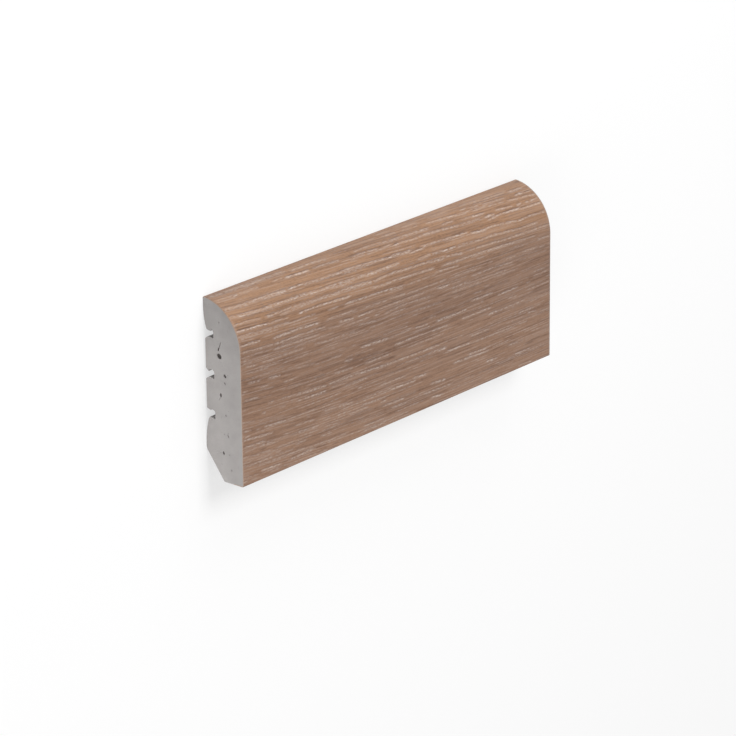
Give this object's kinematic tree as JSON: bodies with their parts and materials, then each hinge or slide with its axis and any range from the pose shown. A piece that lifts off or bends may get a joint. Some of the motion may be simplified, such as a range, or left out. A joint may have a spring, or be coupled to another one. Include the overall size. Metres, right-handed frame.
{
  "type": "skirting board length",
  "caption": "Short length of skirting board: foamed polymer core wrapped in limed oak foil, rounded top, clip grooves along the back and a cable space at the foot.",
  "frame": {"origin": "under the middle of the board as it lies on its back, at the level of the back lands", "axes": "+X along the length, +Y from the lower edge to the top edge, +Z from the back to the face"},
  "size_m": [0.1544, 0.06, 0.0154],
  "materials": {
    "foam": "sawn foamed polymer with fine pores",
    "foil": "decor foil with an embossed limed oak grain, satin"
  },
  "bodies": {
    "root": {"foam_core": "foam", "oak_foil": "foil"}
  },
  "joints": []
}
